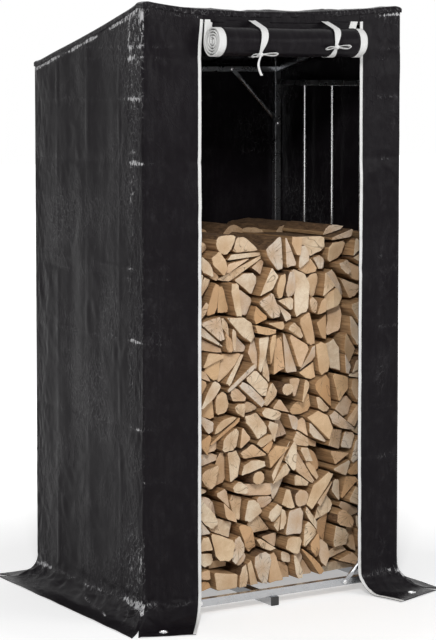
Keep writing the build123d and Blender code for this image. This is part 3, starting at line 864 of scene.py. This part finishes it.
door_place = roll_strip(roll_left + roll_band, roll_right - roll_band, 0.0, 0.0, roll_pitch, roll_turns)
door = new_sheet("rolled_door", 58, 330, door_place, black_film, cloth, "door_roll")
for side, first, ragged, lean in (
    ("left", roll_left, 0.006, (0.004, 0.004)),
    ("right", roll_right - roll_band, 0.004, (0.026, 0.026)),
):
    band_place = roll_strip(first, first + roll_band, ragged, 0.0003, band_pitch, band_turns, lean)
    new_sheet(
        f"roll_band_{side}", 5, 200, band_place, white_tape, band_thickness, f"roll_tape_{side}"
    )


# Ties: a flat strap round the roll, with a knot, two loops and, on one, a tail
def strap_way(turn_from, turn_to, x, knot):
    """Line of the strap from the seam over the front of the roll."""
    seam = Vector((x, -(cover_front + 0.0032), door_top))

    def at(share):
        if share < strap_hanging:
            return seam.lerp(round_roll(turn_from), share / strap_hanging)
        return round_roll(turn_from + (turn_to - turn_from) * (share - strap_hanging) / (1 - strap_hanging))

    def round_roll(turn):
        lean = -0.018 * fade(turn, turn_from, knot)
        base = roll_place(2 * pi - turn, x + lean)
        outward = Vector((0, cos(turn), sin(turn)))
        return Vector((x + lean, base.y, base.z)) + outward * 0.0065

    return at


def ribbon(bm, way, width, side, along, across, crown=0.0):
    """Flat strap along a line: width and side give its breadth and which way that lies."""
    def place(share, drop):
        centre = way(drop)
        breadth = width(drop)
        off = (share - 0.5) * breadth
        ahead = way(min(drop + 0.01, 1.0)) - way(max(drop - 0.01, 0.0))
        face = side(drop).cross(ahead).normalized()
        bulge = crown * (1 - (2 * share - 1) ** 2) + 0.0006 * swell(drop * 9, share * 2.5, breadth * 900)
        return centre + side(drop) * off + face * bulge, (share * breadth, drop * 0.25)
    map_grid(bm, across, along, place)


for side, tie in zip(("left", "right"), ties):
    knot_turn = radians(tie["knot"])
    strap = strap_way(radians(strap_start), radians(strap_end), tie["x"], knot_turn)
    knot_share = strap_hanging + (1 - strap_hanging) * (tie["knot"] - strap_start) / (strap_end - strap_start)
    knot_at = strap(knot_share) + Vector((0, cos(knot_turn), sin(knot_turn))) * 0.005

    def strap_breadth(share):
        """Drawn together at the knot."""
        return strap_width - 0.015 * hump(share - knot_share, 0.12)

    def loop(share, hand, size):
        """Line of one loop of the bow."""
        swing = sin(pi * share)
        rise = 0.0045 * sin(2 * pi * share) - 0.003 * swing + 0.003 * hand * swing
        return knot_at + Vector((hand * size * swing, -0.004 * swing, rise))

    def tail(share):
        """Line of the end that hangs down."""
        swing = -0.012 * sin(pi * share) + 0.004 * share
        return knot_at + Vector((swing - 0.006 * share, -0.003 - 0.004 * share, -tie["tail"] * share))

    def loop_side(share):
        """Which way a loop's breadth lies."""
        return Vector((0.12 * sin(2 * pi * share), -0.9, 0.35)).normalized()

    def tail_side(share):
        """Which way the tail's breadth lies."""
        return Vector((0.85, -0.5 * sin(2 * share), 0.1)).normalized()

    bm = bmesh.new()
    ribbon(bm, strap, strap_breadth, lambda share: Vector((1, 0, 0)), 70, 6, 0.0012)
    for hand, size in zip((-1, 1), tie["loops"]):
        loop_way = lambda share: loop(share, hand, size)
        ribbon(bm, loop_way, lambda share: 0.0075 + 0.003 * sin(pi * share), loop_side, 36, 3)
    if tie["tail"]:
        ribbon(bm, tail, lambda share: 0.0065 + 0.002 * share, tail_side, 24, 3)
    bmesh.ops.recalc_face_normals(bm, faces=bm.faces)
    bmesh.ops.solidify(bm, geom=bm.faces, thickness=strap_thickness)
    for vert in bmesh.ops.create_icosphere(bm, subdivisions=4, radius=1.0)["verts"]:
        ball = vert.co.copy()
        crease = 1 - 0.13 * abs(sin(5 * ball.x + 3 * ball.z)) - 0.12 * abs(ball.x * ball.z)
        vert.co = knot_at + Vector((ball.x * 0.0095, ball.y * 0.0075, ball.z * 0.0085)) * crease
    piece = new_piece(f"door_tie_{side}", bm, white_strap)
    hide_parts(f"tie_strap_{side}")

# Eyelets: rolled rings pressed through the front flaps, as radius and height from the hole outwards
ring_profile = (
    (0.0092, 0.0004), (0.0093, 0.0028), (0.0101, 0.0044), (0.0117, 0.0049), (0.0136, 0.0044), (0.0149, 0.0032)
)
bm = bmesh.new()
for hand in (-1, 1):
    line = [bm.verts.new((hand * eyelet_x + radius, eyelet_y, z)) for radius, z in ring_profile]
    edges = [bm.edges.new(pair) for pair in zip(line, line[1:])]
    middle = (hand * eyelet_x, eyelet_y, 0)
    bmesh.ops.spin(bm, geom=line + edges, cent=middle, axis=(0, 0, 1), angle=2 * pi, steps=48, use_merge=True)
bmesh.ops.remove_doubles(bm, verts=bm.verts, dist=0.00001)
bmesh.ops.recalc_face_normals(bm, faces=bm.faces)
rings = new_piece("eyelet_rings", bm, bright_zinc_and_rod_highlight, Vector((0, 0, 1)))
thicken(rings, 0.0006, -1.0)
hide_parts("eyelets")


# Firewood: every log of a tier, shrunk a little and set in, with worn edges
def log_ends(node):
    """Corners of each log's front end and the log's length."""
    bm = bmesh.new()
    bm.from_mesh(nodes[node].data)
    bmesh.ops.remove_doubles(bm, verts=bm.verts, dist=0.00002)
    bmesh.ops.dissolve_limit(bm, angle_limit=radians(0.5), verts=bm.verts, edges=bm.edges)
    bm.normal_update()
    found = []
    for face in bm.faces:
        if face.normal.y < -0.99:
            length = max(edge.calc_length() for edge in face.verts[0].link_edges)
            found.append(([vert.co.copy() for vert in face.verts], length))
    bm.free()
    return found


def split_outline(corners, middle, size, dice, top):
    """Outline of a log's end inside its corners, as offsets, and whether it is round rather than split."""
    sides = list(zip(corners, corners[1:] + corners[:1]))
    inside = min(((a - middle).cross(b - a)).length / (b - a).length for a, b in sides)
    if size < 0.021 or dice.random() < 0.015:
        start = dice.uniform(0, 2 * pi)
        turns = [start + step * pi / 5 for step in range(10)]
        return [Vector((cos(turn), 0, -sin(turn))) * inside * dice.uniform(0.9, 0.99) for turn in turns], True
    shrink = dice.choice((0.998, 0.995, 0.99, 0.98, 0.97, 0.94, 0.9))
    shrink *= dice.uniform(0.86, 1.0) if top else 1.0
    turn = radians(dice.uniform(-9, 9)) * (dice.random() < 0.4)
    ring = [Matrix.Rotation(turn, 3, "Y") @ (corner - middle) for corner in corners]
    for a, b in sides:
        out = Vector((b.z - a.z, 0, a.x - b.x)).normalized()
        limit = out.dot(a - middle)
        furthest = max(off.dot(out) / limit for off in ring)
        ring = [off / max(furthest, 1.0) for off in ring]
    ring = [off * shrink * dice.uniform(0.93, 1.0) for off in ring]
    cut = dice.choice((0.05, 0.08, 0.13, 0.2)) + 0.08 * top
    outline = []
    for before, here, after in zip(ring[-1:] + ring[:-1], ring, ring[1:] + ring[:1]):
        outline.append(here.lerp(before, cut))
        outline.append(here.lerp(after, cut))
        outline.append(here.lerp(after, 0.5) * dice.uniform(0.95, 1.0))
    return outline, False


def blunt(bm, edges, width):
    """Round some edges off."""
    bmesh.ops.bevel(
        bm, geom=edges, offset=width, segments=2, profile=0.5, affect="EDGES", clamp_overlap=True, material=-1
    )


def shaped_log(corners, length, dice, top, cut_end_share):
    """One split log as its own small mesh."""
    bm = bmesh.new()
    middle = sum(corners, Vector()) / len(corners)
    size = max((corner - middle).length for corner in corners)
    outline, is_round = split_outline(corners, middle, size, dice, top)
    slant = dice.choice((0.06, 0.14, 0.24, 0.36))
    lean = (dice.uniform(-slant, slant), dice.uniform(-slant, slant))
    set_in = dice.uniform(0.0, 0.01) + (dice.random() < 0.33) * dice.uniform(0.012, 0.045)
    set_in += 0.35 * size * (abs(lean[0]) + abs(lean[1]))
    ring = []
    for off in outline:
        y = corners[0].y + set_in + off.x * lean[0] + off.z * lean[1]
        ring.append(bm.verts.new((middle.x + off.x, y, middle.z + off.z)))
    front = bm.faces.new(ring)
    last = front
    steps = 4 if top else 2
    for step in range(steps):
        grown = bmesh.ops.extrude_face_region(bm, geom=[last])["geom"]
        if step:
            bmesh.ops.delete(bm, geom=[last], context="FACES_ONLY")
        last = next(item for item in grown if isinstance(item, bmesh.types.BMFace))
        bend = Vector((dice.uniform(-0.0012, 0.0012), (length - set_in - 0.004) / steps, dice.uniform(-0.0012, 0.0)))
        bmesh.ops.translate(bm, vec=bend, verts=last.verts)
    bmesh.ops.recalc_face_normals(bm, faces=bm.faces)
    if not is_round and dice.random() < 0.4:
        turn = dice.uniform(0, 2 * pi)
        way = Vector((cos(turn), 0, sin(turn)))
        line = middle + way * size * dice.uniform(0.0, 0.35)
        ends = [face for face in bm.faces if face.normal.y < -0.6]
        rim = list({edge for face in ends for edge in face.edges})
        verts = list({vert for face in ends for vert in face.verts})
        bmesh.ops.bisect_plane(bm, geom=ends + rim + verts, dist=0.0001, plane_co=line, plane_no=way)
        deep = dice.uniform(0.2, 0.6)
        for vert in {vert for face in bm.faces if face.normal.y < -0.6 for vert in face.verts}:
            vert.co.y += deep * max((vert.co - line).dot(way), 0.0)
        bm.normal_update()
    reach = min(vert.co.y for vert in bm.verts) + size * 1.2
    rim = [edge for edge in bm.edges if len(edge.link_faces) == 2 and edge.calc_face_angle() > radians(30)]
    rim = [edge for edge in rim if all(vert.co.y < reach for vert in edge.verts)]
    rim = [edge for edge in rim if min(face.normal.y for face in edge.link_faces) < -0.5]
    blunt(bm, rim, size * dice.choice((0.03, 0.05, 0.09)))
    bmesh.ops.remove_doubles(bm, verts=bm.verts, dist=0.00004)
    pith_turn = dice.uniform(0, 2 * pi)
    pith_away = 0.002 if is_round else dice.choice((0.006, 0.012, 0.03, 0.05))
    pith = middle + Vector((cos(pith_turn), 0, sin(pith_turn))) * pith_away
    spot = bm.verts.layers.float_vector.new("log_spot")
    tone = bm.verts.layers.float.new("log_tone")
    ends = bm.faces.layers.float.new("cut_end")
    bark = bm.faces.layers.float.new("bark")
    own = dice.random()
    skin_turn = pi / 2 if top else dice.uniform(0, 2 * pi)
    skin_way = Vector((cos(skin_turn), 0, sin(skin_turn)))
    has_bark = is_round or dice.random() < (0.8 if top else 0.5)
    for vert in bm.verts:
        vert[spot] = vert.co - pith
        vert[tone] = own
    bm.normal_update()
    for face in bm.faces:
        is_end = abs(face.normal.y) > 0.6
        is_outer = is_round or face.normal.dot(skin_way) > 0.45
        # The back row's ends get less of the pale cut colour: partly weathering, partly painted shade behind the
        # front row
        face[ends] = cut_end_share * is_end
        face[bark] = float(has_bark and is_outer and not is_end)
    return bm


stack_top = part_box("firewood_front_tier_5")[1].z
for row, tiers in (("front", 5), ("back", 2)):
    for tier in range(1, tiers + 1):
        node = f"firewood_{row}_tier_{tier}"
        dice = Random(40 + tier + (10 if row == "back" else 0))
        pile = bmesh.new()
        for corners, length in log_ends(node):
            high = max(corner.z for corner in corners) > stack_top - 0.075
            # The back row's ends are darkened: partly weathering, partly painted shade
            log = shaped_log(corners, length, dice, high, 1.0 if row == "front" else 0.3)
            carrier = bpy.data.meshes.new("log")
            log.to_mesh(carrier)
            log.free()
            pile.from_mesh(carrier)
            bpy.data.meshes.remove(carrier)
        piece = new_piece(f"split_logs_{row}_{tier}", pile, firewood, smooth=False)
        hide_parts(node)

# Bolts through the braces' flat ends: washer and six-sided head, as radius, height, sides and where each begins
bolt_parts = ((0.0075, 0.0012, 28, 0.0), (0.0056, 0.0038, 6, 0.0012))
bolt_spots = ((0.2875, -0.378, 0.0425), (0.4875, -0.378, 0.2425), (0.2875, 0.347, 1.787), (0.4875, 0.347, 1.587))
bm = bmesh.new()
for hand in (-1, 1):
    for along_x, face_y, z in bolt_spots:
        for radius, tall, corners, base in bolt_parts:
            centre = Vector((hand * along_x, face_y - base - tall / 2, z))
            turned = Matrix.Translation(centre) @ Matrix.Rotation(radians(90), 4, "X")
            made = bmesh.ops.create_cone(
                bm, cap_ends=True, segments=corners, radius1=radius, radius2=radius, depth=tall, matrix=turned
            )
            around = {edge for vert in made["verts"] for edge in vert.link_edges}
            blunt(bm, [edge for edge in around if edge.calc_face_angle() > radians(50)], 0.0004)
new_piece("brace_bolts", bm, bright_zinc_and_rod_highlight, smooth=False)

# Carried-over rack parts
for name, part in nodes.items():
    if name.startswith(("base_", "post_", "top_rail", "side_r", "brace_", "runner_plugs")):
        for place in part.material_slots:
            # The rods get the bright plated finish: a painted highlight for the light they catch; the other rails
            # and posts keep the plain zinc
            place.material = black_plug if "plugs" in name else bright_zinc_and_rod_highlight if "rods" in name else zinc_steel


# Floor, background, light and camera
soft_light = 0.42


def floor_finish():
    """White floor that keeps the shadow near the object and turns plain white farther off."""
    material, tree, shader = new_finish("white_floor")
    feed(tree, shader, Base_Color=(0.82, 0.82, 0.82, 1), Roughness=0.9, Specular_IOR_Level=0.0)
    away = length_of(tree, put(tree, "TexCoord").outputs["Object"])
    white = spread(tree, away, 0.9, 3.0, soft_light, 1.0)
    feed(tree, shader, Emission_Color=(1, 1, 1, 1), Emission_Strength=times(tree, seen_straight(tree), white))
    return material


bm = bmesh.new()
bmesh.ops.create_grid(bm, x_segments=2, y_segments=2, size=30.0)
mesh = bpy.data.meshes.new("floor")
bm.to_mesh(mesh)
bm.free()
mesh.materials.append(floor_finish())
floor = into_scene("floor", mesh)

world = bpy.data.worlds.new("studio")
world.use_nodes = True
bpy.context.scene.world = world
tree = world.node_tree
sky = tree.nodes["Background"]
feed(tree, sky, Color=(1, 1, 1, 1), Strength=spread(tree, seen_straight(tree), 0.0, 1.0, soft_light, 1.0))


def lamp(name, place, aim, size, power):
    """Soft square lamp turned towards a point."""
    light = bpy.data.lights.new(name, "AREA")
    light.shape = "RECTANGLE"
    light.size, light.size_y = size
    light.energy = power
    made = into_scene(name, light)
    made.location = place
    made.rotation_euler = (Vector(aim) - Vector(place)).to_track_quat("-Z", "Y").to_euler()


lamp("key_lamp", (-3.4, -5.4, 4.2), (0, -0.2, 0.9), (0.9, 0.9), 200)
lamp("fill_lamp", (3.6, -4.6, 2.6), (0, 0, 0.9), (2.4, 2.4), 60)
lamp("side_lamp", (-3.4, 3.9, 3.9), (-0.5, 0, 1.0), (0.7, 1.4), 20)

camera = bpy.data.cameras.new("photo_camera")
camera.sensor_width = 36
camera.lens = 119.8
camera.shift_y = -0.165
view = into_scene("photo_camera", camera)
view.location = (-3.825, -6.251, 1.782)
view.rotation_euler = (radians(90 - 3.87), 0, -atan2(0.5230, 0.8522))
bpy.context.scene.camera = view
bpy.context.scene.view_settings.view_transform = "Standard"
